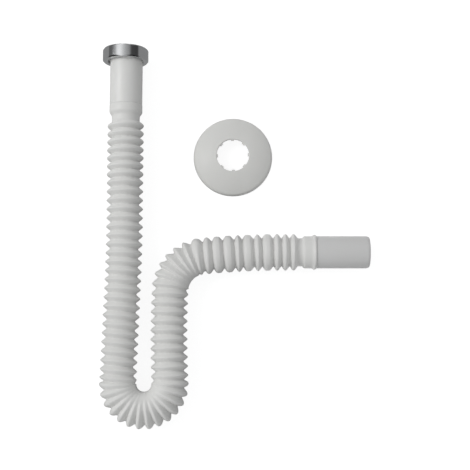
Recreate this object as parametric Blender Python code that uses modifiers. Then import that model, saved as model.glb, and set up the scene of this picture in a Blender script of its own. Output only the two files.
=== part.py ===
"""Extendable flexible waste pipe: a corrugated pipe of 32 mm that lies flat in a long U,
with its union nut at one end, a smooth spigot at the other and its wall rosette beside it.

Metres and degrees. The pipe lies on the floor plane z = 0, its inlet points along +Y and its
outlet along +X.
"""

from math import cos, pi, radians, sin

import bmesh
import bpy
from mathutils import Matrix, Vector

MM = 0.001

# Smooth pipe ends
TAIL_RADIUS = 16.6 * MM
SPIGOT_RADIUS = 16.3 * MM
PIPE_WALL = 1.6 * MM
PIPE_SIDES = 40
FIT = 0.3 * MM

# Bellows: the radii are those of the outer surface
CREST_RADIUS = 18.55 * MM
ROOT_RADIUS = 14.2 * MM
HOSE_WALL = 0.9 * MM
INLET_SLEEVE_RADIUS = 16.8 * MM
OUTLET_SLEEVE_RADIUS = 16.3 * MM
HOSE_SIDES = 16

# Folds, counted from the inlet: how many, and the length of one
INLET_FOLDS = 7
INLET_PITCH = 8.33 * MM
LEG_FOLDS = 22
LEG_PITCH = 9.0 * MM
LAST_LEG_FOLDS = 1
LAST_LEG_PITCH = 7.3 * MM
TRAP_FOLDS = 14
TRAP_PITCH = 6.22 * MM
RISER_FOLDS = 10
RISER_PITCH = 9.05 * MM
BEND_FOLDS = 6
BEND_PITCH = 7.0 * MM
EXIT_FOLDS = 2
EXIT_PITCH = 9.7 * MM
RUN_WIDE_PITCH = 11.2 * MM
RUN_NARROW_PITCH = 8.3 * MM

# Smooth stretches of the hose beside the folds
INLET_SLEEVE = 6.9 * MM
SHOULDER = 5.3 * MM
INLET_NECK = 5.4 * MM
OUTLET_NECK = 3.1 * MM
OUTLET_SHOULDER = 4.2 * MM
OUTLET_SLEEVE = 6.5 * MM
BEAD_WIDTH = 4.8 * MM
BEAD_HEIGHT = 1.5 * MM
BEAD_EDGE = 0.7 * MM

# Route of the hose seen from above, from the inlet sleeve on
INLET_X = -112.0 * MM
INLET_Y = 133.5 * MM
LEG_STRAIGHT = 118.5 * MM
LEG_BOW = 60.0 * MM
LEG_BOW_TURN = -2.0
TRAP_LEAD = 0.8 * MM
TRAP_RADIUS = 26.0 * MM
TRAP_TURN = 185.0
RISER_TURN = -5.2
BEND_RADIUS = 35.0 * MM
BEND_TURN = -82.2
RUN_BOW = 83.0 * MM
ROUTE_STEP = 2.0 * MM
RISE_LENGTH = 200.0 * MM

# Inlet tailpiece: the smooth cuff with its flange
TAIL_LENGTH = 50.1 * MM
FLANGE_RADIUS = 19.4 * MM
FLANGE_THICK = 2.0 * MM
TAIL_INSERT = 6.2 * MM

# Sealing washer
WASHER_THICK = 2.0 * MM
WASHER_BORE = 14.6 * MM

# Union nut for a thread of 1 1/4 inch
NUT_RADIUS = 23.4 * MM
NUT_FLATS = 22.3 * MM
NUT_HEIGHT = 12.8 * MM
NUT_SHOULDER = 2.0 * MM
NUT_HOLE = 18.0 * MM
NUT_BORE = 20.9 * MM
NUT_CHAMFER = 1.2 * MM
NUT_MOUTH_CHAMFER = 0.6 * MM
NUT_SIDES = 48
NUT_OFFSET = 1.1 * MM
NUT_OFFSET_ANGLE = 150.0

# Outlet spigot
SPIGOT_LENGTH = 53.2 * MM
SPIGOT_INSERT = 10.4 * MM
SPIGOT_ROUNDING = 2.4 * MM
SPIGOT_LEAD = 1.1 * MM

# Wall rosette
ROSETTE_X = -2.2 * MM
ROSETTE_Y = 83.6 * MM
ROSETTE_TURN = 2.0
ROSETTE_RADIUS = 41.0 * MM
ROSETTE_HEIGHT = 14.0 * MM
ROSETTE_HOLE = 16.7 * MM
ROSETTE_LIP = 2.6 * MM
ROSETTE_WALL = 1.5 * MM
ROSETTE_SIDES = 48
RIM_FOOT = 0.8 * MM
RIM_HEIGHT = 3.0 * MM
RIM_DRAFT = 0.4 * MM
RIM_ROUNDING = 2.5 * MM
DOME_FOOT = 6.2 * MM
DOME_BULGE = 1.0 * MM
DOME_STEPS = 5
TAB_COUNT = 8
TAB_WIDTH = 3.4 * MM
TAB_DEPTH = 1.4 * MM
TAB_HEIGHT = 2.0 * MM
TAB_ROOT = 0.7 * MM

COLLECTION_NAME = "flexible_waste_pipe"


def empty_scene():
    """Take out what the start-up scene holds."""
    for thing in list(bpy.data.objects):
        bpy.data.objects.remove(thing, do_unlink=True)


def collection(name):
    group = bpy.data.collections.new(name)
    bpy.context.scene.collection.children.link(group)
    return group


def material(name, colour, roughness, metallic=0.0):
    finish = bpy.data.materials.new(name)
    finish.use_nodes = True
    shader = finish.node_tree.nodes["Principled BSDF"]
    shader.inputs["Base Color"].default_value = (*colour, 1.0)
    shader.inputs["Roughness"].default_value = roughness
    shader.inputs["Metallic"].default_value = metallic
    finish.diffuse_color = (*colour, 1.0)
    return finish


def as_guide(thing):
    """Mark a cutter or a guide, which is no piece of the pipe."""
    thing.hide_render = True
    thing.display_type = "WIRE"


def profile_object(name, points, closed, group):
    """An edge-only mesh in the XZ plane, from (radius, height) points that climb the outer side.

    They are laid down in reverse, so that the turned faces point outwards.
    """
    mesh = bpy.data.meshes.new(name)
    draft = bmesh.new()
    corners = [draft.verts.new((radius, 0.0, height)) for radius, height in reversed(points)]
    pairs = list(zip(corners, corners[1:]))
    if closed:
        pairs.append((corners[-1], corners[0]))
    for first, second in pairs:
        draft.edges.new((first, second))
    draft.to_mesh(mesh)
    draft.free()
    thing = bpy.data.objects.new(name, mesh)
    group.objects.link(thing)
    return thing


def turn(thing, sides):
    """Spin the profile once about the object's own Z axis."""
    screw = thing.modifiers.new("turned", "SCREW")
    screw.axis = "Z"
    screw.angle = 2.0 * pi
    screw.steps = sides
    screw.render_steps = sides
    screw.use_merge_vertices = True
    screw.merge_threshold = 0.00001
    screw.use_smooth_shade = True
    return screw


def turned_piece(name, points, sides, finish, group):
    """A ring-shaped solid from the closed outline of its wall."""
    thing = profile_object(name, points, True, group)
    thing.data.materials.append(finish)
    turn(thing, sides)
    return thing


def route_stretches():
    """The route as (length, turn in degrees) stretches, each straight or on one radius.

    The long leg and the riser are as long as their folds, and the rest of the turn to +X is
    left to the run.
    """
    leg_length = folds_start() + folds_length(0, 3) + TRAP_LEAD
    trap_length = TRAP_RADIUS * radians(TRAP_TURN)
    riser_length = folds_length(3, 5) - TRAP_LEAD - trap_length
    bend_length = BEND_RADIUS * radians(-BEND_TURN)
    run_turn = -(LEG_BOW_TURN + TRAP_TURN + RISER_TURN + BEND_TURN - 90.0)
    curved = [
        (LEG_STRAIGHT, 0.0),
        (LEG_BOW, LEG_BOW_TURN),
        (max(leg_length - LEG_STRAIGHT - LEG_BOW, ROUTE_STEP), 0.0),
        (trap_length, TRAP_TURN),
        (max(riser_length, ROUTE_STEP), RISER_TURN),
        (bend_length, BEND_TURN),
        (RUN_BOW, run_turn),
    ]
    rest = max(hose_length() - sum(length for length, turned in curved), ROUTE_STEP)
    return curved + [(rest, 0.0)]


def fold_stretches():
    """The folds as (count, pitch) stretches, from the inlet to the outlet."""
    return [
        (INLET_FOLDS, INLET_PITCH),
        (LEG_FOLDS, LEG_PITCH),
        (LAST_LEG_FOLDS, LAST_LEG_PITCH),
        (TRAP_FOLDS, TRAP_PITCH),
        (RISER_FOLDS, RISER_PITCH),
        (BEND_FOLDS, BEND_PITCH),
        (EXIT_FOLDS, EXIT_PITCH),
        *((1, pitch) for pitch in run_pitches()),
    ]


def run_pitches():
    """The run's folds: some are pulled open wide, the others are still narrow."""
    wide, narrow = RUN_WIDE_PITCH, RUN_NARROW_PITCH
    return [wide, wide, narrow, wide, narrow, wide, narrow, narrow, narrow]


def folds_start():
    return INLET_SLEEVE + SHOULDER + INLET_NECK


def folds_length(first, last):
    """Length of the fold stretches from the first up to, but without, the last."""
    return sum(count * pitch for count, pitch in fold_stretches()[first:last])


def folds_end():
    return folds_start() + folds_length(0, len(fold_stretches()))


def hose_length():
    return folds_end() + OUTLET_NECK + OUTLET_SHOULDER + OUTLET_SLEEVE + BEAD_WIDTH


def axis_height(distance):
    """Height of the hose's axis: it lies on its crests, and climbs to the nut's height."""
    lift = inlet_height() - CREST_RADIUS
    share = min(max(1.0 - distance / RISE_LENGTH, 0.0), 1.0)
    return CREST_RADIUS + lift * share * share * (3.0 - 2.0 * share)


def inlet_height():
    """The nut stands on one of its flats and the tailpiece hangs a little low in it."""
    return NUT_FLATS - NUT_OFFSET * sin(radians(NUT_OFFSET_ANGLE))


def route_points():
    """Points along the hose's axis, ROUTE_STEP apart or a little less."""
    x, y = INLET_X, INLET_Y
    heading = radians(-90.0)
    distance = 0.0
    points = [(x, y, axis_height(distance))]
    for length, turned in route_stretches():
        steps = max(round(length / ROUTE_STEP), 1)
        step = length / steps
        for _ in range(steps):
            heading += radians(turned) / steps / 2.0
            x += step * cos(heading)
            y += step * sin(heading)
            heading += radians(turned) / steps / 2.0
            distance += step
            points.append((x, y, axis_height(distance)))
    return points


def hose_profile():
    """Outer surface of the hose as (radius, distance) points, from the inlet on."""
    points = [
        (INLET_SLEEVE_RADIUS, 0.0),
        (INLET_SLEEVE_RADIUS, INLET_SLEEVE),
        (ROOT_RADIUS, INLET_SLEEVE + SHOULDER),
    ]
    distance = folds_start()
    for count, pitch in fold_stretches():
        for _ in range(count):
            points.append((ROOT_RADIUS, distance))
            points.append((CREST_RADIUS, distance + pitch / 2.0))
            distance += pitch
    points.append((ROOT_RADIUS, distance))
    distance += OUTLET_NECK
    points.append((ROOT_RADIUS, distance))
    distance += OUTLET_SHOULDER
    points.append((OUTLET_SLEEVE_RADIUS, distance))
    distance += OUTLET_SLEEVE
    points.append((OUTLET_SLEEVE_RADIUS, distance))
    bead = OUTLET_SLEEVE_RADIUS + BEAD_HEIGHT
    points.append((bead, distance + BEAD_EDGE))
    points.append((bead, distance + BEAD_WIDTH - BEAD_EDGE))
    points.append((bead - BEAD_EDGE, distance + BEAD_WIDTH))
    return points


def route_guide(guides):
    """The hose's axis as a curve, which bends the straight bellows."""
    path = bpy.data.curves.new("hose_route", "CURVE")
    path.dimensions = "3D"
    path.twist_mode = "Z_UP"
    spline = path.splines.new("POLY")
    points = route_points()
    spline.points.add(len(points) - 1)
    for point, place in zip(spline.points, points):
        point.co = Vector(place).to_4d()
    guide = bpy.data.objects.new("hose_route", path)
    guides.objects.link(guide)
    as_guide(guide)
    return guide


def bellows_hose(finish, group, guides):
    """One blown tube: a zigzag wall spun about its axis and bent along the route."""
    hose = profile_object("bellows_hose", hose_profile(), False, group)
    hose.data.materials.append(finish)
    turn(hose, HOSE_SIDES)
    shell = hose.modifiers.new("wall", "SOLIDIFY")
    shell.thickness = HOSE_WALL
    shell.offset = -1.0
    shell.use_even_offset = True
    bent = hose.modifiers.new("bent", "CURVE")
    bent.object = route_guide(guides)
    bent.deform_axis = "POS_Z"
    return hose


def pipe_wall(radius, sleeve_radius, insert, length, end):
    """Closed outline of a smooth pipe end: a thinner insert, then the full pipe up to its end.

    The insert clears the middle of the sleeve's flat sides.
    """
    insert_radius = sleeve_radius * cos(pi / HOSE_SIDES) - HOSE_WALL - FIT
    insert_bore = insert_radius - PIPE_WALL
    bore = radius - PIPE_WALL
    return [
        (insert_bore, -insert),
        (insert_radius, -insert),
        (insert_radius, FIT),
        (radius, FIT),
        *end,
        (bore, length),
        (bore, PIPE_WALL + FIT),
        (insert_bore, 0.0),
    ]


def inlet_tailpiece(finish, group):
    under = TAIL_LENGTH - FLANGE_THICK
    flange = [(TAIL_RADIUS, under), (FLANGE_RADIUS, under), (FLANGE_RADIUS, TAIL_LENGTH)]
    outline = pipe_wall(TAIL_RADIUS, INLET_SLEEVE_RADIUS, TAIL_INSERT, TAIL_LENGTH, flange)
    return turned_piece("inlet_tailpiece", outline, PIPE_SIDES, finish, group)


def outlet_spigot(finish, group):
    rounded = [
        (SPIGOT_RADIUS, SPIGOT_LENGTH - SPIGOT_ROUNDING),
        (SPIGOT_RADIUS - SPIGOT_LEAD / 3.0, SPIGOT_LENGTH - SPIGOT_ROUNDING / 3.0),
        (SPIGOT_RADIUS - SPIGOT_LEAD, SPIGOT_LENGTH),
    ]
    outline = pipe_wall(SPIGOT_RADIUS, OUTLET_SLEEVE_RADIUS, SPIGOT_INSERT, SPIGOT_LENGTH, rounded)
    return turned_piece("outlet_spigot", outline, PIPE_SIDES, finish, group)


def sealing_washer(finish, group):
    base = TAIL_LENGTH + FIT
    top = base + WASHER_THICK
    outline = [(WASHER_BORE, base), (FLANGE_RADIUS, base), (FLANGE_RADIUS, top), (WASHER_BORE, top)]
    return turned_piece("sealing_washer", outline, PIPE_SIDES, finish, group)


def union_nut(finish, group, guides):
    """A turned ring with an inner shoulder, cut by a hexagon to six shallow flats."""
    outline = [
        (NUT_HOLE, 0.0),
        (NUT_RADIUS - NUT_CHAMFER, 0.0),
        (NUT_RADIUS, NUT_CHAMFER),
        (NUT_RADIUS, NUT_HEIGHT - NUT_CHAMFER),
        (NUT_RADIUS - NUT_CHAMFER, NUT_HEIGHT),
        (NUT_BORE + NUT_MOUTH_CHAMFER, NUT_HEIGHT),
        (NUT_BORE, NUT_HEIGHT - NUT_MOUTH_CHAMFER),
        (NUT_BORE, NUT_SHOULDER),
        (NUT_HOLE, NUT_SHOULDER),
    ]
    nut = turned_piece("union_nut", outline, NUT_SIDES, finish, group)
    stock_mesh = bpy.data.meshes.new("nut_stock")
    draft = bmesh.new()
    corner = NUT_FLATS / cos(pi / 6.0)
    bmesh.ops.create_cone(
        draft,
        cap_ends=True,
        segments=6,
        radius1=corner,
        radius2=corner,
        depth=2.0 * NUT_HEIGHT,
        matrix=Matrix.Rotation(pi / 6.0, 4, "Z"),
    )
    draft.to_mesh(stock_mesh)
    draft.free()
    stock = bpy.data.objects.new("nut_stock", stock_mesh)
    guides.objects.link(stock)
    as_guide(stock)
    stock.parent = nut
    stock.location.z = NUT_HEIGHT / 2.0
    flats = nut.modifiers.new("flats", "BOOLEAN")
    flats.operation = "INTERSECT"
    flats.object = stock
    return nut


def dome_point(share):
    """Outer face of the rosette at a share of the way from its hole to the foot of its dome."""
    foot_radius = ROSETTE_RADIUS - RIM_DRAFT - RIM_ROUNDING
    radius = ROSETTE_HOLE + share * (foot_radius - ROSETTE_HOLE)
    rise = (1.0 - share) * (ROSETTE_HEIGHT - DOME_FOOT)
    bulge = 4.0 * DOME_BULGE * share * (1.0 - share)
    return radius, DOME_FOOT + rise + bulge


def wall_rosette(finish, group, guides):
    """A shallow dome on an upright rim, with a lip round its hole and small tabs that grip."""
    wall_top = ROSETTE_RADIUS - RIM_DRAFT
    rim = [
        (ROSETTE_RADIUS, 0.0),
        (ROSETTE_RADIUS, RIM_FOOT),
        (wall_top, RIM_HEIGHT),
        (wall_top - RIM_ROUNDING / 4.0, RIM_HEIGHT + (DOME_FOOT - RIM_HEIGHT) * 2.0 / 3.0),
    ]
    face = [dome_point(1.0 - step / DOME_STEPS) for step in range(DOME_STEPS + 1)]
    profile = [*rim, *face, (ROSETTE_HOLE, ROSETTE_HEIGHT - ROSETTE_LIP)]
    rosette = profile_object("wall_rosette", profile, False, group)
    rosette.data.materials.append(finish)
    turn(rosette, ROSETTE_SIDES)
    shell = rosette.modifiers.new("wall", "SOLIDIFY")
    shell.thickness = ROSETTE_WALL
    shell.offset = -1.0
    shell.use_even_offset = True
    tabs_mesh = bpy.data.meshes.new("rosette_tabs")
    draft = bmesh.new()
    for number in range(TAB_COUNT):
        size = Matrix.Diagonal((TAB_DEPTH + TAB_ROOT, TAB_WIDTH, TAB_HEIGHT, 1.0))
        middle = ROSETTE_HOLE + TAB_ROOT - (TAB_DEPTH + TAB_ROOT) / 2.0
        level = ROSETTE_HEIGHT - ROSETTE_LIP + TAB_HEIGHT / 2.0
        place = Matrix.Translation((middle, 0.0, level))
        around = Matrix.Rotation(2.0 * pi * number / TAB_COUNT, 4, "Z")
        bmesh.ops.create_cube(draft, size=1.0, matrix=around @ place @ size)
    draft.to_mesh(tabs_mesh)
    draft.free()
    tabs = bpy.data.objects.new("rosette_tabs", tabs_mesh)
    guides.objects.link(tabs)
    as_guide(tabs)
    tabs.parent = rosette
    joined = rosette.modifiers.new("tabs", "BOOLEAN")
    joined.operation = "UNION"
    joined.object = tabs
    rosette.location = (ROSETTE_X, ROSETTE_Y, 0.0)
    rosette.rotation_euler.z = radians(ROSETTE_TURN)
    return rosette


def empty(name, place, rotation, group):
    marker = bpy.data.objects.new(name, None)
    marker.empty_display_size = 0.02
    marker.location = place
    marker.rotation_euler = rotation
    group.objects.link(marker)
    return marker


def centre_on_floor(root, pieces):
    """Shift the root so that the middle of the whole bounding box is over the origin."""
    bpy.context.view_layer.update()
    graph = bpy.context.evaluated_depsgraph_get()
    places = []
    for piece in pieces:
        shown = piece.evaluated_get(graph)
        mesh = shown.to_mesh()
        places += [shown.matrix_world @ corner.co for corner in mesh.vertices]
        shown.to_mesh_clear()
    for axis in (0, 1):
        low = min(place[axis] for place in places)
        high = max(place[axis] for place in places)
        root.location[axis] -= (low + high) / 2.0


def main():
    empty_scene()
    group = collection(COLLECTION_NAME)
    guides = collection("guides")

    hose_plastic = material("hose_plastic", (0.66, 0.67, 0.65), 0.42)
    cuff_plastic = material("cuff_plastic", (0.68, 0.69, 0.67), 0.35)
    spigot_plastic = material("spigot_plastic", (0.56, 0.56, 0.55), 0.38)
    cover_plastic = material("cover_plastic", (0.64, 0.65, 0.62), 0.36)
    chrome = material("chrome", (0.78, 0.79, 0.80), 0.12, 1.0)
    rubber = material("grey_rubber", (0.06, 0.06, 0.065), 0.75)

    hose = bellows_hose(hose_plastic, group, guides)
    tail = inlet_tailpiece(cuff_plastic, group)
    washer = sealing_washer(rubber, group)
    nut = union_nut(chrome, group, guides)
    spigot = outlet_spigot(spigot_plastic, group)
    rosette = wall_rosette(cover_plastic, group, guides)

    root = empty("pipe_root", (0.0, 0.0, 0.0), (0.0, 0.0, 0.0), group)
    inlet_rotation = (radians(-90.0), 0.0, 0.0)
    inlet = empty("inlet_axis", (INLET_X, INLET_Y, inlet_height()), inlet_rotation, group)
    end = route_points()[-1]
    outlet = empty("outlet_axis", end, (0.0, radians(90.0), 0.0), group)
    angle = radians(NUT_OFFSET_ANGLE)
    nut_place = (
        INLET_X + NUT_OFFSET * cos(angle),
        INLET_Y + TAIL_LENGTH - FLANGE_THICK - FIT - NUT_SHOULDER,
        inlet_height() + NUT_OFFSET * sin(angle),
    )
    nut_axis = empty("nut_axis", nut_place, inlet_rotation, group)

    tail.parent = inlet
    washer.parent = inlet
    nut.parent = nut_axis
    spigot.parent = outlet
    guide = bpy.data.objects["hose_route"]
    for thing in (inlet, outlet, nut_axis, hose, guide, rosette):
        thing.parent = root

    centre_on_floor(root, (hose, tail, washer, nut, spigot, rosette))


main()
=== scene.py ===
"""Looks of the extendable flexible waste pipe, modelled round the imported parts.

Lengths are metres through MM, angles are degrees. Distances along the hose count from its inlet end.
"""

from math import cos, hypot, pi, radians, sin, tan

import bmesh
import bpy
import numpy as np
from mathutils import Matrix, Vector

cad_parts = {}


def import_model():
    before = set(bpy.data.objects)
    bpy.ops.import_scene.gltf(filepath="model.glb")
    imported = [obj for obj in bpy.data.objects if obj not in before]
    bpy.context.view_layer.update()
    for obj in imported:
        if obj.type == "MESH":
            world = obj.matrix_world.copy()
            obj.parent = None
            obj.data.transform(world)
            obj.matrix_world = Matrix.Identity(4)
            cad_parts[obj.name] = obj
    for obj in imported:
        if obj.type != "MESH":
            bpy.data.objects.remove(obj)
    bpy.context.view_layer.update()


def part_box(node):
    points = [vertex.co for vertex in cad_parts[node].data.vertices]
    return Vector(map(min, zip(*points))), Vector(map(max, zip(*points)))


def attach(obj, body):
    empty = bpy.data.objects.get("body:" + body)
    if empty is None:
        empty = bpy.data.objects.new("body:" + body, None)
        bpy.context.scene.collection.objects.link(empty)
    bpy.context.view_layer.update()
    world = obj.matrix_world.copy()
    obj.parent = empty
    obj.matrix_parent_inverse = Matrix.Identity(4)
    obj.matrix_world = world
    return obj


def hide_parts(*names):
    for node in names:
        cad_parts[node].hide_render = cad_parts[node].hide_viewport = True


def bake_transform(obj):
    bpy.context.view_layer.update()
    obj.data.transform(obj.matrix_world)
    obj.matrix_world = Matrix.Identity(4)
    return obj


MM = 0.001

# Camera: the photo's own view
CAMERA_ANGLE = 27.8
CAMERA_TILT = 6.905
CAMERA_DISTANCE = 963.0 * MM
SENSOR_WIDTH = 36.0

# Angle from which an edge of any piece is shaded sharp
SHARP_ANGLE = 38.0

# Bellows, outer surface
CREST_RADIUS = 18.55 * MM
ROOT_RADIUS = 14.2 * MM
HOSE_WALL = 0.9 * MM
HOSE_SIDES = 96

# Smooth stretches of the hose
INLET_SLEEVE_RADIUS = 16.8 * MM
OUTLET_SLEEVE_RADIUS = 16.3 * MM
INLET_SLEEVE = 6.9 * MM
INLET_SHOULDER = 5.3 * MM
INLET_NECK = 5.4 * MM
OUTLET_NECK = 3.1 * MM
OUTLET_SHOULDER = 4.2 * MM
OUTLET_STEEPNESS = 1.4
OUTLET_SLEEVE = 6.5 * MM
BEAD_WIDTH = 4.8 * MM
BEAD_HEIGHT = 1.5 * MM
BEAD_START = 0.15
BEAD_SKEW = 1.5
EDGE_ROUNDING = 0.25 * MM
EDGE_SHARES = (0.0, 0.4, 1.0)
SHOULDER_RINGS = 9
SLEEVE_RINGS = 4
BEAD_RINGS = 9

# Folds from the inlet on: count, pitch, fullness, and, in pitches, how far the crest leans to the inlet
# and how far the roots lie towards the outlet
WIDE = (1, 11.2 * MM, 2.3, 0.05, 0.0)
NARROW = (1, 8.3 * MM, 1.45, 0.03, 0.0)
FOLD_STRETCHES = [
    (7, 8.33 * MM, 1.45, 0.0, 0.0),
    (22, 9.0 * MM, 1.1, 0.0, 0.0),
    (1, 7.3 * MM, 1.1, 0.0, 0.0),
    (14, 6.22 * MM, 1.25, 0.05, 0.02),
    (10, 9.05 * MM, 1.15, 0.02, 0.0),
    (6, 7.0 * MM, 0.95, 0.0, 0.15),
    (2, 9.7 * MM, 1.6, 0.0, 0.08),
    WIDE, WIDE, NARROW, WIDE, NARROW, WIDE, NARROW, NARROW, NARROW,
]

# How many stretches come before the U-bend and before the upper bend, how many folds the run has,
# and before which fold of the U-bend the hose is divided
LEG_STRETCHES = 3
RISER_STRETCHES = 5
SPLIT_FOLD = 7

# A fold is shallowest at its closed pitch, on the inside of a bend, and deepest from its open pitch on
CLOSED_PITCH = 3.3 * MM
OPEN_PITCH = 9.0 * MM
CLOSED_DEPTH = 0.04

# Shape of a fold: shares at which it has a ring, rounding of crest and root, and the second ridge of
# the widest folds. Where a bend draws a fold out, it gets fuller, and leans and sags more up to a limit
FOLD_SHARES = [
    0.0, 0.05, 0.12, 0.2, 0.28, 0.35, 0.42, 0.46, 0.5, 0.54, 0.58, 0.64, 0.69, 0.73, 0.77, 0.83, 0.88, 0.95,
]
CREST_TIP = 0.12
ROOT_TIP = 0.25
RIDGE_PLACE = 0.73
RIDGE_WIDTH = 0.045
RIDGE_HEIGHT = 0.06
RIDGE_PITCH = 10.5 * MM
STRETCH_FULLNESS = 0.6
MOST_SWING = 1.4

# How far a crest wanders inwards at most
CREST_WANDER = 0.22 * MM
WANDER_SEED = 7

# How far the planes of the leg's folds tilt, at the crest, and where
TILT_PLACES = [20.0 * MM, 277.0 * MM, 330.0 * MM]
TILTS = [-0.65 * MM, 1.0 * MM, 0.0]

# Route of the hose seen from above: length and turn of each stretch
LEG_STRAIGHT = 118.5 * MM
LEG_BOW = 60.0 * MM
LEG_BOW_TURN = -2.0
TRAP_LEAD = 0.8 * MM
TRAP_RADIUS = 26.0 * MM
TRAP_TURN = 185.0
RISER_TURN = -5.2
BEND_RADIUS = 35.0 * MM
BEND_TURN = -82.2
RUN_BOW = 83.0 * MM
RISE_LENGTH = 200.0 * MM
ROUTE_STEP = 0.25 * MM
BEND_SOFTENING = 61

# Smooth pipe ends
TAIL_RADIUS = 16.6 * MM
SPIGOT_RADIUS = 16.3 * MM
PIPE_WALL = 1.6 * MM
FIT = 0.3 * MM
FLANGE_THICK = 2.0 * MM
FLANGE_FILLET = 0.8 * MM
FLANGE_EDGE = 0.4 * MM
TAPER_LENGTH = 2.4 * MM
TAPER_DEPTH = 1.0 * MM
TAPER_ROUNDING = 4.0 * MM
SPIGOT_EDGE = 0.5 * MM
SPIGOT_BORE_EDGE = 0.3 * MM
INSERT_EDGE = 0.5 * MM
INSERT_BORE_EDGE = 0.3 * MM
BORE_STEP_EDGE = 0.6 * MM
WASHER_BORE = 14.6 * MM
WASHER_EDGE = 0.35 * MM
PIPE_SIDES = 128

# How close the visible pipe ends stand to the hose's sleeves, and the edge that they have there
SEAM = 0.05 * MM
SEAM_EDGE = 0.25 * MM

# Union nut
NUT_RADIUS = 23.4 * MM
NUT_FLATS = 22.3 * MM
NUT_BORE = 20.9 * MM
NUT_HOLE = 18.0 * MM
NUT_SHOULDER = 2.0 * MM
NUT_CHAMFER = 1.2 * MM
NUT_EDGE = 0.8 * MM
NUT_END_EDGE = 0.5 * MM
NUT_BORE_EDGE = 0.3 * MM
NUT_SIDES = 240
BORE_MARGIN = 0.2 * MM

# Its flats: a power of 1 makes them plane and one of 0 leaves them round
FLAT_COUNT = 6
FLAT_POWER = 0.8
FLAT_BLEND = 0.12 * MM

# Its thread: the start counts from the nut's back, the end from its mouth
THREAD_START = 7.2 * MM
THREAD_END = 0.6 * MM
THREAD_PITCH = 2.309 * MM
THREAD_DEPTH = 1.1 * MM
THREAD_STEEPNESS = 1.3
THREAD_RINGS = 10.0

# Wall rosette
ROSETTE_X = -2.2 * MM
ROSETTE_Y = 83.6 * MM
ROSETTE_TURN = 2.0
ROSETTE_RADIUS = 41.0 * MM
ROSETTE_HOLE = 16.7 * MM
ROSETTE_LIP = 2.6 * MM
ROSETTE_WALL = 1.5 * MM
ROSETTE_SIDES = 240
HOLE_EDGE = 0.35 * MM

# Its foot and rim, and the shoulder over the rim
RIM_HEIGHT = 3.0 * MM
RIM_DRAFT = 0.4 * MM
RIM_ROUNDING = 2.5 * MM
FOOT_EDGE = 0.3 * MM
FOOT_INSET = 0.02 * MM
SHOULDER_INSET = 0.25 * MM
SHOULDER_RISE = 2.1 * MM
SHOULDER_STEPS = 8

# Its dome, and how far the inner face stands inside the outer one
DOME_FOOT = 6.2 * MM
DOME_BULGE = 1.0 * MM
DOME_STEPS = 20
WALL_SHIFT = 0.6 * MM

# The tabs in its hole
TAB_COUNT = 8
TAB_RINGS = 2
TAB_WIDTH = 3.4 * MM
TAB_DEPTH = 1.4 * MM
TAB_HEIGHT = 2.0 * MM
TAB_FOOT = 0.1 * MM
TAB_SLOPE = 0.15 * MM
TAB_SIDE = 0.08 * MM

# Plastics: colour, darker shade, roughness, translucency and its depth
HOSE_LOOK = ((0.76, 0.76, 0.745), (0.73, 0.73, 0.715), 0.42, 0.0, 1.0 * MM)
CUFF_LOOK = ((0.75, 0.75, 0.735), (0.73, 0.73, 0.715), 0.36, 0.2, 2.5 * MM)
SPIGOT_LOOK = ((0.65, 0.65, 0.645), (0.63, 0.63, 0.625), 0.40, 0.15, 2.5 * MM)
COVER_LOOK = ((0.73, 0.73, 0.71), (0.71, 0.71, 0.69), 0.44, 0.15, 2.5 * MM)

# Floor, a hair below the pipe: what its own light adds for the eye and for mirrors makes it look white
FLOOR_SHADE = 0.22
FLOOR_GLOW = 0.90
FLOOR_REACH = 6.0
FLOOR_GAP = 0.05 * MM

# Light from all round, and the lamp
WHITE = (1.0, 1.0, 1.0, 1.0)
WORLD_COLOUR = (0.985, 0.99, 1.0, 1.0)
WORLD_LEVEL = 0.55
KEY_PLACE = (-1.25, 0.28, 1.15)
KEY_AIM = (0.0, 0.0, 0.0)
KEY_SIZE = 0.8
KEY_WATTS = 13.0

# Glowing card tube along Y round the nut, seen only in mirrors: a painted reflection, whose tones paint the
# bright and dark bands in the nut and, in its dim part, a dimmer sheen on the hose. The places on Y where it
# starts, where its dim part begins to fade into the full tone and where it ends. Each stop is an angle, from
# +X over the top, and the tone there
TENT_RADIUS = 120.0 * MM
TENT_START = -200.0 * MM
TENT_FADE = 110.0 * MM
TENT_BLEND = 30.0 * MM
TENT_END = 420.0 * MM
TENT_DIM = 0.25
TENT_GAP = 0.1 * MM
TENT_COLUMNS = 145
TENT_STOPS = [
    (-90, 0.33), (-25, 0.32), (5, 0.28), (18, 0.1), (32, 0.06), (60, 0.08), (78, 0.16), (87, 0.3), (92, 0.5),
    (95, 0.68), (100, 1.15), (106, 0.95), (112, 0.58), (125, 0.42), (140, 0.3), (150, 0.15), (170, 0.15),
    (190, 0.32), (270, 0.33),
]

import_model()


def middle(name):
    """Middle of a CAD node's box."""
    low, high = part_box(name)
    return (Vector(low) + Vector(high)) / 2.0


def ease(share):
    """Smooth step from 0 to 1."""
    share = np.clip(share, 0.0, 1.0)
    return share * share * (3.0 - 2.0 * share)


# Meshes

def skin(name, grid):
    """Closed skin over rings of points that follow one another and meet again at the first."""
    rings, sides, _ = grid.shape
    number = np.arange(rings * sides).reshape(rings, sides)
    after = np.roll(number, -1, axis=0)
    quads = np.stack([
        number,
        np.roll(number, -1, axis=1),
        np.roll(after, -1, axis=1),
        after,
    ], axis=-1)
    mesh = bpy.data.meshes.new(name)
    mesh.from_pydata(grid.reshape(-1, 3).tolist(), [], quads.reshape(-1, 4).tolist())
    draft = bmesh.new()
    draft.from_mesh(mesh)
    if draft.calc_volume(signed=True) < 0.0:
        bmesh.ops.reverse_faces(draft, faces=draft.faces)
    draft.to_mesh(mesh)
    draft.free()
    mesh.update()
    thing = bpy.data.objects.new(name, mesh)
    bpy.context.scene.collection.objects.link(thing)
    mesh.shade_smooth()
    mesh.set_sharp_from_angle(angle=radians(SHARP_ANGLE))
    return thing


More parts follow.
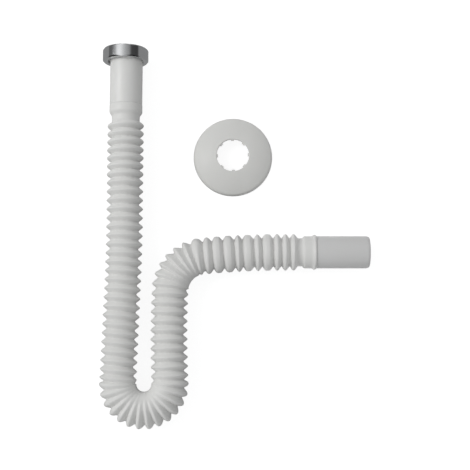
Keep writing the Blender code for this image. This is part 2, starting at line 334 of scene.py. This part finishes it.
def rounded(outline, steps=5):
    """Corner points (radius, height, rounding) of a closed outline, with each rounding as an arc."""
    points = []
    count = len(outline)
    for index, (radius, height, rounding) in enumerate(outline):
        corner = Vector((radius, height))
        if rounding <= 0.0:
            points.append(tuple(corner))
            continue
        before = (Vector(outline[index - 1][:2]) - corner).normalized()
        behind = (Vector(outline[(index + 1) % count][:2]) - corner).normalized()
        opening = before.angle(behind)
        reach = rounding / tan(opening / 2.0)
        centre = corner + (before + behind).normalized() * (rounding / sin(opening / 2.0))
        start = corner + before * reach - centre
        end = corner + behind * reach - centre
        swing = start.angle_signed(end)
        for step in range(steps + 1):
            angle = -swing * step / steps
            turned = Vector((
                start.x * cos(angle) - start.y * sin(angle),
                start.x * sin(angle) + start.y * cos(angle),
            ))
            points.append(tuple(centre + turned))
    return np.array(points)


def ring_grid(outline, sides):
    """Outline spun about the Z axis, as (points, sides, 3)."""
    angle = 2.0 * pi * np.arange(sides) / sides
    radius, height = outline[:, 0, None], outline[:, 1, None]
    return np.stack([radius * np.cos(angle), radius * np.sin(angle), height + 0.0 * angle], axis=-1)


def along_y(grid, origin):
    """Local Z laid along +Y from the origin, local Y down."""
    x, y, z = grid[..., 0], grid[..., 1], grid[..., 2]
    return np.stack([origin[0] + x, origin[1] + z, origin[2] - y], axis=-1)


def along_x(grid, origin):
    """Local Z laid along +X from the origin, local X down."""
    x, y, z = grid[..., 0], grid[..., 1], grid[..., 2]
    return np.stack([origin[0] + z, origin[1] + y, origin[2] - x], axis=-1)


# Route of the hose

def folds():
    """Each fold as (start, pitch, fullness, lean, sags), with the sags of the roots at both its ends."""
    kinds = [kind for kind in FOLD_STRETCHES for _ in range(kind[0])]
    sags = [pitch * sag for _, pitch, _, _, sag in kinds]
    sags = [0.0] + [(one + other) / 2.0 for one, other in zip(sags, sags[1:] + [0.0])]
    rows = []
    place = folds_start()
    for number, (_, pitch, fullness, lean, _) in enumerate(kinds):
        rows.append((place, pitch, fullness, lean, sags[number:number + 2]))
        place += pitch
    return rows


def folds_length(first, last):
    """Length of the fold stretches from the first up to, but without, the last."""
    return sum(count * pitch for count, pitch, *_ in FOLD_STRETCHES[first:last])


def folds_start():
    """Distance of the first fold's first root."""
    return INLET_SLEEVE + INLET_SHOULDER + INLET_NECK


def folds_end():
    """Distance of the last fold's last root."""
    return folds_start() + folds_length(0, len(FOLD_STRETCHES))


def hose_length():
    """Length of the hose along its axis."""
    return folds_end() + OUTLET_NECK + OUTLET_SHOULDER + OUTLET_SLEEVE + BEAD_WIDTH


def route(start, end_height):
    """Stations along the hose's axis, ROUTE_STEP apart: distance, place, heading, slope and bend."""
    run_turn = -(LEG_BOW_TURN + TRAP_TURN + RISER_TURN + BEND_TURN - 90.0)
    leg_length = folds_start() + folds_length(0, LEG_STRETCHES) + TRAP_LEAD
    trap_length = TRAP_RADIUS * radians(TRAP_TURN)
    riser_length = folds_length(LEG_STRETCHES, RISER_STRETCHES) - TRAP_LEAD - trap_length
    stretches = [
        (LEG_STRAIGHT, 0.0),
        (LEG_BOW, LEG_BOW_TURN),
        (leg_length - LEG_STRAIGHT - LEG_BOW, 0.0),
        (trap_length, TRAP_TURN),
        (riser_length, RISER_TURN),
        (BEND_RADIUS * radians(-BEND_TURN), BEND_TURN),
        (RUN_BOW, run_turn),
    ]
    distance = np.arange(0.0, hose_length() + ROUTE_STEP, ROUTE_STEP)
    bend = np.zeros_like(distance)
    place = 0.0
    for length, turned in stretches:
        inside = (distance >= place) & (distance < place + length)
        bend[inside] = radians(turned) / length
        place += length
    corner = np.cumsum([0.0] + [length for length, _ in stretches] + [1.0])
    turned = np.cumsum([0.0] + [radians(turn) for _, turn in stretches] + [0.0])
    heading = radians(-90.0) + np.interp(distance, corner, turned)
    halfway = (heading[1:] + heading[:-1]) / 2.0
    x = start[0] + np.concatenate([[0.0], np.cumsum(np.cos(halfway) * ROUTE_STEP)])
    y = start[1] + np.concatenate([[0.0], np.cumsum(np.sin(halfway) * ROUTE_STEP)])
    share = np.clip(1.0 - distance / RISE_LENGTH, 0.0, 1.0)
    z = end_height + (start[2] - end_height) * ease(share)
    soft = np.ones(BEND_SOFTENING) / BEND_SOFTENING
    return {
        "distance": distance,
        "place": np.stack([x, y, z], axis=-1),
        "heading": heading,
        "slope": np.gradient(z, distance),
        "bend": np.convolve(bend, soft, mode="same"),
    }


def on_route(path, distance, radius, angle):
    """Points at a radius and an angle about the route: 0 is left of the way along, 90 is up."""
    known = path["distance"]
    centre = [np.interp(distance, known, path["place"][:, axis]) for axis in range(3)]
    heading = np.interp(distance, known, path["heading"])
    slope = np.interp(distance, known, path["slope"])
    aside = radius * np.cos(angle)
    above = radius * np.sin(angle)
    return np.stack([
        centre[0] - aside * np.sin(heading) - above * np.cos(heading) * slope,
        centre[1] + aside * np.cos(heading) - above * np.sin(heading) * slope,
        centre[2] + above,
    ], axis=-1)


# Bellows hose

def fold_height(share, fullness, ridge):
    """Height of a fold's wall, 0 at its roots and 1 at its crest, with both rounded."""
    aside = abs(2.0 * share - 1.0)
    aside = (hypot(aside, CREST_TIP) - CREST_TIP) / (hypot(1.0, CREST_TIP) - CREST_TIP)
    height = 1.0 - aside ** fullness
    height = (np.hypot(height, ROOT_TIP) - ROOT_TIP) / (hypot(1.0, ROOT_TIP) - ROOT_TIP)
    return height + ridge * np.exp(-((share - RIDGE_PLACE) / RIDGE_WIDTH) ** 2)


def fold_stretch(path, fold, angle):
    """How much a bend draws a fold out, or closes it up, at each angle."""
    bend = np.interp(fold[0] + fold[1] / 2.0, path["distance"], path["bend"])
    return 1.0 - bend * CREST_RADIUS * np.cos(angle)


def fold_depth(path, fold, angle):
    """Depth of a fold at each angle; it closes up on the inside of a bend."""
    pitch = fold[1] * fold_stretch(path, fold, angle)
    opened = ease((pitch - CLOSED_PITCH) / (OPEN_PITCH - CLOSED_PITCH))
    return (CREST_RADIUS - ROOT_RADIUS) * (CLOSED_DEPTH + (1.0 - CLOSED_DEPTH) * opened)


def fold_rings(path, fold, depths, angle, drop):
    """A fold's rings as (distance, radius), from its depths at its first root, crest and last root."""
    start, pitch, fullness, lean, sags = fold
    stretch = fold_stretch(path, fold, angle)
    swing = np.clip(stretch, 0.0, MOST_SWING)
    tilt = np.interp(start, TILT_PLACES, TILTS) * np.cos(angle)
    ridge = RIDGE_HEIGHT if pitch > RIDGE_PITCH else 0.0
    full = fullness + STRETCH_FULLNESS * np.maximum(stretch - 1.0, 0.0)
    rings = []
    for share in FOLD_SHARES:
        first_half = share < 0.5
        sag = sags[0] if first_half else sags[1]
        turned = (sag * (1.0 - sin(pi * share)) - pitch * lean * sin(pi * share)) * swing
        to_crest = 2.0 * share if first_half else 2.0 - 2.0 * share
        root_depth = depths[0] if first_half else depths[2]
        depth = root_depth + (depths[1] - root_depth) * to_crest
        height = fold_height(share, full, ridge)
        radius = CREST_RADIUS - drop - (depth - drop) * (1.0 - height)
        rings.append((start + pitch * share + turned + tilt, radius))
    return rings


def inlet_rings(flat):
    """Rings of the smooth sleeve, the shoulder and the neck before the first fold."""
    rings = []
    for share in EDGE_SHARES:
        radius = INLET_SLEEVE_RADIUS - EDGE_ROUNDING * (1.0 - share) ** 2
        rings.append((EDGE_ROUNDING * share * flat, radius * flat))
    rings.append((INLET_SLEEVE * 0.5 * flat, INLET_SLEEVE_RADIUS * flat))
    for share in np.linspace(0.0, 1.0, SHOULDER_RINGS):
        radius = INLET_SLEEVE_RADIUS + (ROOT_RADIUS - INLET_SLEEVE_RADIUS) * ease(share)
        rings.append(((INLET_SLEEVE + INLET_SHOULDER * share) * flat, radius * flat))
    rings.append(((INLET_SLEEVE + INLET_SHOULDER + INLET_NECK * 0.5) * flat, ROOT_RADIUS * flat))
    return rings


def outlet_rings(flat):
    """Rings of the neck, the shoulder, the smooth sleeve and its bead after the last fold."""
    place = folds_end()
    rings = [(place * flat, ROOT_RADIUS * flat)]
    place += OUTLET_NECK
    for share in np.linspace(0.0, 1.0, SHOULDER_RINGS):
        rise = ease(0.5 + OUTLET_STEEPNESS * (share - 0.5))
        radius = ROOT_RADIUS + (OUTLET_SLEEVE_RADIUS - ROOT_RADIUS) * rise
        rings.append(((place + OUTLET_SHOULDER * share) * flat, radius * flat))
    place += OUTLET_SHOULDER
    for share in np.linspace(0.25, 1.0, SLEEVE_RINGS):
        rings.append(((place + OUTLET_SLEEVE * share) * flat, OUTLET_SLEEVE_RADIUS * flat))
    place += OUTLET_SLEEVE
    for share in np.linspace(BEAD_START, 1.0, BEAD_RINGS):
        swell = BEAD_HEIGHT * sin(pi * share ** BEAD_SKEW)
        rings.append(((place + BEAD_WIDTH * share) * flat, (OUTLET_SLEEVE_RADIUS + swell) * flat))
    return rings


def hose_rings(path, angle):
    """All rings of the hose's outer surface, and the ring that the hose is divided at."""
    flat = np.ones_like(angle)
    random = np.random.default_rng(WANDER_SEED)
    split = sum(count for count, *_ in FOLD_STRETCHES[:LEG_STRETCHES]) + SPLIT_FOLD
    split_ring = 0
    all_folds = folds()
    neck = (CREST_RADIUS - ROOT_RADIUS) * flat
    crests = [fold_depth(path, fold, angle) for fold in all_folds]
    roots = [neck] + [(one + other) / 2.0 for one, other in zip(crests, crests[1:])] + [neck]
    rings = inlet_rings(flat)
    for number, fold in enumerate(all_folds):
        if number == split:
            split_ring = len(rings)
        depths = (roots[number], crests[number], roots[number + 1])
        wander = CREST_WANDER * random.random()
        phase = 2.0 * pi * random.random()
        drop = wander * (0.5 + 0.5 * np.cos(2.0 * angle + phase))
        rings += fold_rings(path, fold, depths, angle, drop)
    return rings + outlet_rings(flat), split_ring


def hose_piece(name, path, rings, angle):
    """A stretch of the hose as a closed shell, its wall measured inwards; half the rings inside."""
    distance = np.array([ring[0] for ring in rings])
    outer = np.array([ring[1] for ring in rings])
    inner = sorted({*range(0, len(rings), 2), len(rings) - 1}, reverse=True)
    grid = np.concatenate([
        on_route(path, distance, outer, angle),
        on_route(path, distance[inner], outer[inner] - HOSE_WALL, angle),
    ])
    return skin(name, grid)


def bellows(finish):
    """The hose as two pieces, divided in the U-bend, one for each leg."""
    tail = middle("inlet_tailpiece")
    spigot = middle("outlet_spigot")
    start = (tail.x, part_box("bellows_hose")[1][1], tail.z)
    path = route(start, spigot.z)
    angle = 2.0 * pi * np.arange(HOSE_SIDES) / HOSE_SIDES
    rings, split = hose_rings(path, angle)
    leg = hose_piece("bellows_inlet_leg", path, rings[:split + 1], angle)
    run = hose_piece("bellows_outlet_leg", path, rings[split:], angle)
    for thing in (leg, run):
        thing.data.materials.append(finish)
        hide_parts("bellows_hose")
    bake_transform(leg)
    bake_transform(run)


# Smooth ends

def pipe_outline(radius, sleeve_radius, insert, end):
    """Outline of a smooth pipe: its thinner part inside the hose's sleeve, and the points of its free end."""
    narrow = sleeve_radius - HOSE_WALL - 2.0 * FIT
    return rounded([
        (narrow - PIPE_WALL, -insert, INSERT_BORE_EDGE),
        (narrow, -insert, INSERT_EDGE),
        (narrow, SEAM, 0.0),
        (radius, SEAM, SEAM_EDGE),
        *end,
        (radius - PIPE_WALL, PIPE_WALL + SEAM, BORE_STEP_EDGE),
        (narrow - PIPE_WALL, 0.0, BORE_STEP_EDGE),
    ])


def cuff(finish):
    """The smooth inlet tailpiece with its flange."""
    tail = middle("inlet_tailpiece")
    low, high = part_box("inlet_tailpiece")
    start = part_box("bellows_hose")[1][1]
    length = high[1] - start
    flange = (high[0] - low[0]) / 2.0
    outline = pipe_outline(TAIL_RADIUS, INLET_SLEEVE_RADIUS, start - low[1], [
        (TAIL_RADIUS, length - FLANGE_THICK, FLANGE_FILLET),
        (flange, length - FLANGE_THICK, FLANGE_EDGE),
        (flange, length, FLANGE_EDGE),
        (TAIL_RADIUS - PIPE_WALL, length, FLANGE_EDGE),
    ])
    thing = skin("smooth_cuff", along_y(ring_grid(outline, PIPE_SIDES), (tail.x, start, tail.z)))
    thing.data.materials.append(finish)
    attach(thing, "inlet_end")
    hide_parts("inlet_tailpiece")


def washer(finish):
    """The flat gasket on the flange."""
    place = middle("sealing_washer")
    low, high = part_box("sealing_washer")
    outer = (high[0] - low[0]) / 2.0
    thick = high[1] - low[1]
    outline = rounded([
        (WASHER_BORE, 0.0, WASHER_EDGE),
        (outer, 0.0, WASHER_EDGE),
        (outer, thick, WASHER_EDGE),
        (WASHER_BORE, thick, WASHER_EDGE),
    ])
    thing = skin("gasket_ring", along_y(ring_grid(outline, PIPE_SIDES), (place.x, low[1], place.z)))
    thing.data.materials.append(finish)
    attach(thing, "inlet_end")
    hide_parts("sealing_washer")


def spigot(finish):
    """The smooth outlet end."""
    place = middle("outlet_spigot")
    low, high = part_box("outlet_spigot")
    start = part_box("bellows_hose")[1][0]
    length = high[0] - start
    outline = pipe_outline(SPIGOT_RADIUS, OUTLET_SLEEVE_RADIUS, start - low[0], [
        (SPIGOT_RADIUS, length - TAPER_LENGTH, TAPER_ROUNDING),
        (SPIGOT_RADIUS - TAPER_DEPTH, length, SPIGOT_EDGE),
        (SPIGOT_RADIUS - PIPE_WALL, length, SPIGOT_BORE_EDGE),
    ])
    thing = skin("smooth_spigot", along_x(ring_grid(outline, PIPE_SIDES), (start, place.y, place.z)))
    thing.data.materials.append(finish)
    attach(thing, "outlet_end")
    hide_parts("outlet_spigot")


# Nut

def nut_shell(height, angle):
    """The nut's mouth, its ends and its outside with the shallow flats, as rings."""
    grid = ring_grid(rounded([
        (NUT_HOLE, 0.0, NUT_BORE_EDGE),
        (NUT_RADIUS - NUT_CHAMFER, 0.0, NUT_END_EDGE),
        (NUT_RADIUS, NUT_CHAMFER, NUT_EDGE),
        (NUT_RADIUS, height - NUT_CHAMFER, NUT_EDGE),
        (NUT_RADIUS - NUT_CHAMFER, height, NUT_END_EDGE),
        (NUT_BORE, height, NUT_BORE_EDGE),
    ]), NUT_SIDES)
    sector = 2.0 * pi / FLAT_COUNT
    off_flat = (angle + sector / 2.0 + pi / 2.0) % sector - sector / 2.0
    flat = NUT_FLATS / np.cos(off_flat) ** FLAT_POWER
    radius = np.hypot(grid[..., 0], grid[..., 1])
    cut = radius - FLAT_BLEND * np.logaddexp(0.0, (radius - flat) / FLAT_BLEND)
    outside = radius > NUT_BORE + BORE_MARGIN
    grid[..., :2] *= np.where(outside, cut / radius, 1.0)[..., None]
    return grid


def nut_thread(height, angle):
    """The thread inside the nut, from its mouth inwards, fading out at both ends, as rings."""
    turns = np.arange(height - THREAD_END, THREAD_START, -THREAD_PITCH / THREAD_RINGS)
    phase = turns[:, None] / THREAD_PITCH - angle[None, :] / (2.0 * pi)
    ridge = 1.0 - np.abs(2.0 * (phase % 1.0) - 1.0)
    ridge = np.clip(0.5 + THREAD_STEEPNESS * (ridge - 0.5), 0.0, 1.0)
    fade = ease(np.minimum(height - turns, turns - THREAD_START) / THREAD_PITCH)[:, None]
    bore = NUT_BORE - THREAD_DEPTH * ridge * fade
    return np.stack([bore * np.cos(angle), bore * np.sin(angle), turns[:, None] + 0.0 * bore], axis=-1)


def union_nut(finish):
    """A turned nut with six shallow flats, rounded chamfers and a thread inside."""
    place = middle("union_nut")
    low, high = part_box("union_nut")
    height = high[1] - low[1]
    angle = 2.0 * pi * np.arange(NUT_SIDES) / NUT_SIDES
    seat = ring_grid(np.array([
        (NUT_BORE, NUT_SHOULDER),
        (NUT_HOLE + NUT_BORE_EDGE, NUT_SHOULDER),
        (NUT_HOLE, NUT_SHOULDER - NUT_BORE_EDGE),
    ]), NUT_SIDES)
    grid = np.concatenate([nut_shell(height, angle), nut_thread(height, angle), seat])
    thing = skin("chromed_nut", along_y(grid, (place.x, low[1], place.z)))
    thing.data.materials.append(finish)
    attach(thing, "nut")
    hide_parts("union_nut")


# Rosette

def dome(share, height):
    """Outer face of the rosette at a share of the way from its hole to the foot of its dome."""
    foot_radius = ROSETTE_RADIUS - RIM_DRAFT - RIM_ROUNDING
    radius = ROSETTE_HOLE + share * (foot_radius - ROSETTE_HOLE)
    rise = (1.0 - share) * (height - DOME_FOOT)
    bulge = 4.0 * DOME_BULGE * share * (1.0 - share)
    return radius, DOME_FOOT + rise + bulge


def curve(start, handle, end, share):
    """Point at a share of a curve from start to end that one handle draws."""
    return tuple(
        (1.0 - share) ** 2 * one + 2.0 * share * (1.0 - share) * two + share ** 2 * three
        for one, two, three in zip(start, handle, end)
    )


def rosette_outline(height):
    """Outline of the rosette's wall; the first TAB_RINGS points are those that the tabs move inwards."""
    wall_top = ROSETTE_RADIUS - RIM_DRAFT
    outer = [dome(step / DOME_STEPS, height) for step in range(1, DOME_STEPS)]
    inner = [(radius - WALL_SHIFT, level - ROSETTE_WALL) for radius, level in outer[:0:-1]]
    handle = (wall_top - SHOULDER_INSET, RIM_HEIGHT + SHOULDER_RISE)
    shoulder = [
        curve(dome(1.0, height), handle, (wall_top, RIM_HEIGHT), step / SHOULDER_STEPS)
        for step in range(SHOULDER_STEPS + 1)
    ]
    mouth = height - ROSETTE_LIP
    tab_top = mouth + TAB_HEIGHT
    return [
        (ROSETTE_HOLE, mouth + TAB_FOOT),
        (ROSETTE_HOLE, tab_top - TAB_SLOPE),
        (ROSETTE_HOLE, tab_top),
        (ROSETTE_HOLE, height - HOLE_EDGE),
        (ROSETTE_HOLE + 0.3 * HOLE_EDGE, height - 0.3 * HOLE_EDGE),
        (ROSETTE_HOLE + HOLE_EDGE, height - 0.1 * HOLE_EDGE),
        *outer,
        *shoulder,
        (ROSETTE_RADIUS - FOOT_INSET, FOOT_EDGE),
        (ROSETTE_RADIUS - FOOT_EDGE, 0.0),
        (ROSETTE_RADIUS - ROSETTE_WALL, 0.0),
        (wall_top - ROSETTE_WALL, RIM_HEIGHT),
        *inner,
        (ROSETTE_HOLE + ROSETTE_WALL, mouth),
    ]


def rosette(finish):
    """The cover: a shallow dome on an upright rim, with eight gripping tabs in its hole."""
    place = middle("wall_rosette")
    low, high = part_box("wall_rosette")
    half = TAB_WIDTH / 2.0 / ROSETTE_HOLE
    edge = TAB_SIDE / ROSETTE_HOLE
    tabs = 2.0 * pi * np.arange(TAB_COUNT) / TAB_COUNT
    ends = [tab + side * (half + way * edge) for tab in tabs for side in (-1.0, 1.0) for way in (-1.0, 1.0)]
    even = 2.0 * pi * np.arange(ROSETTE_SIDES) / ROSETTE_SIDES
    angle = np.sort(np.concatenate([even, np.array(ends) % (2.0 * pi)]))
    spacing = 2.0 * pi / TAB_COUNT
    off_tab = np.abs((angle + spacing / 2.0) % spacing - spacing / 2.0)
    depth = np.where(off_tab < half, TAB_DEPTH, 0.0)
    turned = angle + radians(ROSETTE_TURN)
    grid = []
    for index, (radius, level) in enumerate(rosette_outline(high[2] - low[2])):
        reach = radius - depth if index < TAB_RINGS else radius + 0.0 * angle
        grid.append(np.stack([reach * np.cos(turned), reach * np.sin(turned), level + 0.0 * angle], axis=-1))
    thing = skin("rosette_cover", np.array(grid) + np.array([place.x, place.y, 0.0]))
    thing.data.materials.append(finish)
    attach(thing, "hose")
    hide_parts("wall_rosette")


# Finishes

def new_finish(name):
    """A new material with its nodes, its links and its Principled shader."""
    finish = bpy.data.materials.new(name)
    finish.use_nodes = True
    nodes = finish.node_tree.nodes
    return finish, nodes, finish.node_tree.links, nodes["Principled BSDF"]


def noise(nodes, links, coordinates, scale, detail=3.0):
    """Noise in the object's own coordinates."""
    texture = nodes.new("ShaderNodeTexNoise")
    texture.inputs["Scale"].default_value = scale
    texture.inputs["Detail"].default_value = detail
    links.new(coordinates.outputs["Object"], texture.inputs["Vector"])
    return texture


def two_tones(nodes, links, pattern, socket, first, second):
    """A colour that goes from the first to the second with a pattern."""
    mixed = nodes.new("ShaderNodeMix")
    mixed.data_type = "RGBA"
    mixed.inputs["A"].default_value = (*first, 1.0)
    mixed.inputs["B"].default_value = (*second, 1.0)
    links.new(pattern.outputs["Fac"], mixed.inputs["Factor"])
    links.new(mixed.outputs["Result"], socket)


def spread(nodes, links, pattern, socket, low, high):
    """A value that goes from low to high with a pattern."""
    span = nodes.new("ShaderNodeMapRange")
    span.inputs["To Min"].default_value = low
    span.inputs["To Max"].default_value = high
    links.new(pattern.outputs["Fac"], span.inputs["Value"])
    links.new(span.outputs["Result"], socket)


def relief(nodes, links, pattern, socket, strength, distance):
    """Bump from a pattern, as the normal of a socket."""
    bump = nodes.new("ShaderNodeBump")
    bump.inputs["Strength"].default_value = strength
    bump.inputs["Distance"].default_value = distance
    links.new(pattern.outputs["Fac"], bump.inputs["Height"])
    links.new(bump.outputs["Normal"], socket)
    return bump


def moulded_plastic(name, colour, shade, roughness, translucency, depth):
    """Off-white moulded plastic: a faint cloudiness, a satin skin with fine pitting, some depth."""
    finish, nodes, links, shader = new_finish(name)
    coordinates = nodes.new("ShaderNodeTexCoord")
    clouds = noise(nodes, links, coordinates, scale=38.0, detail=4.0)
    two_tones(nodes, links, clouds, shader.inputs["Base Color"], colour, shade)
    patches = noise(nodes, links, coordinates, scale=160.0)
    spread(nodes, links, patches, shader.inputs["Roughness"], low=roughness - 0.06, high=roughness + 0.08)
    pits = noise(nodes, links, coordinates, scale=1500.0, detail=2.0)
    waves = noise(nodes, links, coordinates, scale=90.0, detail=2.0)
    broad = relief(nodes, links, waves, shader.inputs["Normal"], strength=0.2, distance=0.4 * MM)
    relief(nodes, links, pits, broad.inputs["Normal"], strength=0.12, distance=0.06 * MM)
    shader.inputs["Subsurface Weight"].default_value = translucency
    shader.inputs["Subsurface Radius"].default_value = (1.0, 0.97, 0.9)
    shader.inputs["Subsurface Scale"].default_value = depth
    shader.inputs["Specular IOR Level"].default_value = 0.35
    shader.inputs["Diffuse Roughness"].default_value = 0.5
    return finish


def chrome_plate():
    """Polished plating with the faint rings of turning and a little haze."""
    finish, nodes, links, shader = new_finish("chrome_plate")
    coordinates = nodes.new("ShaderNodeTexCoord")
    shader.inputs["Metallic"].default_value = 1.0
    haze = noise(nodes, links, coordinates, scale=110.0)
    two_tones(nodes, links, haze, shader.inputs["Base Color"], (0.70, 0.71, 0.72), (0.60, 0.61, 0.62))
    spread(nodes, links, haze, shader.inputs["Roughness"], low=0.07, high=0.16)
    rings = nodes.new("ShaderNodeTexWave")
    rings.bands_direction = "Y"
    rings.inputs["Scale"].default_value = 900.0
    rings.inputs["Distortion"].default_value = 1.5
    links.new(coordinates.outputs["Object"], rings.inputs["Vector"])
    relief(nodes, links, rings, shader.inputs["Normal"], strength=0.06, distance=0.05 * MM)
    return finish


def rubber():
    """Dark grey moulded rubber."""
    finish, nodes, links, shader = new_finish("grey_rubber_skin")
    coordinates = nodes.new("ShaderNodeTexCoord")
    grain = noise(nodes, links, coordinates, scale=700.0)
    two_tones(nodes, links, grain, shader.inputs["Base Color"], (0.045, 0.045, 0.05), (0.08, 0.08, 0.085))
    shader.inputs["Roughness"].default_value = 0.72
    relief(nodes, links, grain, shader.inputs["Normal"], strength=0.3, distance=0.08 * MM)
    return finish


# Camera, floor and light

def camera(aim):
    """The photo's view, tilted a little from straight above, towards the point aimed at."""
    lens = bpy.data.cameras.new("photo_view")
    lens.sensor_width = SENSOR_WIDTH
    lens.lens = SENSOR_WIDTH / 2.0 / tan(radians(CAMERA_ANGLE / 2.0))
    view = bpy.data.objects.new("photo_view", lens)
    tilt = radians(CAMERA_TILT)
    view.location = Vector(aim) - CAMERA_DISTANCE * Vector((0.0, sin(tilt), -cos(tilt)))
    view.rotation_euler = (tilt, 0.0, 0.0)
    bpy.context.scene.collection.objects.link(view)
    bpy.context.scene.camera = view


def seen_directly(nodes, links):
    """A factor that is 1 for camera, mirrored and refracted rays."""
    path = nodes.new("ShaderNodeLightPath")
    first = nodes.new("ShaderNodeMath")
    first.operation = "MAXIMUM"
    links.new(path.outputs["Is Camera Ray"], first.inputs[0])
    links.new(path.outputs["Is Glossy Ray"], first.inputs[1])
    both = nodes.new("ShaderNodeMath")
    both.operation = "MAXIMUM"
    links.new(first.outputs["Value"], both.inputs[0])
    links.new(path.outputs["Is Transmission Ray"], both.inputs[1])
    return both.outputs["Value"]


def floor():
    """A pale floor that shows white round the pipe and keeps its shadow."""
    finish, nodes, links, shader = new_finish("pale_floor")
    shader.inputs["Base Color"].default_value = (FLOOR_SHADE, FLOOR_SHADE, FLOOR_SHADE, 1.0)
    shader.inputs["Roughness"].default_value = 0.9
    shader.inputs["Specular IOR Level"].default_value = 0.1
    glow = nodes.new("ShaderNodeEmission")
    glow.inputs["Color"].default_value = WHITE
    scaled = nodes.new("ShaderNodeMath")
    scaled.operation = "MULTIPLY"
    scaled.inputs[1].default_value = FLOOR_GLOW
    links.new(seen_directly(nodes, links), scaled.inputs[0])
    links.new(scaled.outputs["Value"], glow.inputs["Strength"])
    both = nodes.new("ShaderNodeAddShader")
    links.new(shader.outputs["BSDF"], both.inputs[0])
    links.new(glow.outputs["Emission"], both.inputs[1])
    links.new(both.outputs["Shader"], nodes["Material Output"].inputs["Surface"])
    mesh = bpy.data.meshes.new("pale_floor")
    corners = [(-1.0, -1.0), (1.0, -1.0), (1.0, 1.0), (-1.0, 1.0)]
    mesh.from_pydata([(FLOOR_REACH * x, FLOOR_REACH * y, 0.0) for x, y in corners], [], [(0, 1, 2, 3)])
    mesh.materials.append(finish)
    ground = bpy.data.objects.new("pale_floor", mesh)
    ground.location.z = -FLOOR_GAP
    bpy.context.scene.collection.objects.link(ground)


def world():
    """A dim, even light from all round, which the eye and mirrors see as white."""
    setting = bpy.data.worlds.new("studio")
    bpy.context.scene.world = setting
    setting.use_nodes = True
    nodes, links = setting.node_tree.nodes, setting.node_tree.links
    dim = nodes["Background"]
    dim.inputs["Color"].default_value = WORLD_COLOUR
    dim.inputs["Strength"].default_value = WORLD_LEVEL
    white = nodes.new("ShaderNodeBackground")
    white.inputs["Color"].default_value = WHITE
    white.inputs["Strength"].default_value = 1.0
    chosen = nodes.new("ShaderNodeMixShader")
    links.new(seen_directly(nodes, links), chosen.inputs["Fac"])
    links.new(dim.outputs["Background"], chosen.inputs[1])
    links.new(white.outputs["Background"], chosen.inputs[2])
    links.new(chosen.outputs["Shader"], nodes["World Output"].inputs["Surface"])


def area_light(name, place, aim, size, watts):
    """A square lamp that faces the point aimed at."""
    light = bpy.data.lights.new(name, "AREA")
    light.shape = "SQUARE"
    light.size = size
    light.energy = watts
    lamp = bpy.data.objects.new(name, light)
    lamp.location = place
    lamp.rotation_euler = (Vector(aim) - Vector(place)).to_track_quat("-Z", "Y").to_euler()
    bpy.context.scene.collection.objects.link(lamp)


def light_tent(place):
    """The glowing card tube round a place, which only mirrored rays see: a painted reflection, dim where the
    hose lies.
    """
    finish, nodes, links, shader = new_finish("tent_card")
    nodes.remove(shader)
    tone = nodes.new("ShaderNodeAttribute")
    tone.attribute_name = "tone"
    glow = nodes.new("ShaderNodeEmission")
    links.new(tone.outputs["Color"], glow.inputs["Color"])
    links.new(glow.outputs["Emission"], nodes["Material Output"].inputs["Surface"])
    angle = np.linspace(-pi / 2.0, 1.5 * pi, TENT_COLUMNS)
    downwards = np.maximum(-np.sin(angle), 0.01)
    radius = np.minimum(TENT_RADIUS, (place.z - TENT_GAP) / downwards)
    # Painted reflection: the glow of each column round the nut, seen only in mirrors
    reflection_tones = np.interp(np.degrees(angle), *zip(*TENT_STOPS))
    along = [(TENT_START, TENT_DIM), (TENT_FADE, TENT_DIM), (TENT_FADE + TENT_BLEND, 1.0), (TENT_END, 1.0)]
    points, shades = [], []
    for y, share in along:
        for turn, reach, value in zip(angle, radius, reflection_tones):
            points.append((place.x + reach * cos(turn), y, place.z + reach * sin(turn)))
            shades += [value * share] * 3 + [1.0]
    number = np.arange(len(points)).reshape(len(along), TENT_COLUMNS)
    faces = np.stack([number[:-1, :-1], number[:-1, 1:], number[1:, 1:], number[1:, :-1]], axis=-1)
    mesh = bpy.data.meshes.new("light_tent")
    mesh.from_pydata(points, [], faces.reshape(-1, 4).tolist())
    mesh.color_attributes.new("tone", "FLOAT_COLOR", "POINT").data.foreach_set("color", shades)
    mesh.materials.append(finish)
    tent = bpy.data.objects.new("light_tent", mesh)
    tent.visible_camera = False
    tent.visible_diffuse = False
    tent.visible_transmission = False
    tent.visible_volume_scatter = False
    tent.visible_shadow = False
    bpy.context.scene.collection.objects.link(tent)


def studio():
    """Floor, surrounding light, the glowing card tube that paints reflections seen only in mirrors, and one
    soft lamp from the upper left.
    """
    bpy.context.scene.view_settings.view_transform = "Standard"
    floor()
    world()
    light_tent(middle("union_nut"))
    area_light("key_softbox", KEY_PLACE, KEY_AIM, KEY_SIZE, KEY_WATTS)


photo_middle = middle("wall_rosette") - Vector((ROSETTE_X, ROSETTE_Y, 0.0))
camera((photo_middle.x, photo_middle.y, CREST_RADIUS))
studio()

bellows(moulded_plastic("hose_plastic_skin", *HOSE_LOOK))
cuff(moulded_plastic("cuff_plastic_skin", *CUFF_LOOK))
spigot(moulded_plastic("spigot_plastic_skin", *SPIGOT_LOOK))
rosette(moulded_plastic("cover_plastic_skin", *COVER_LOOK))
union_nut(chrome_plate())
washer(rubber())
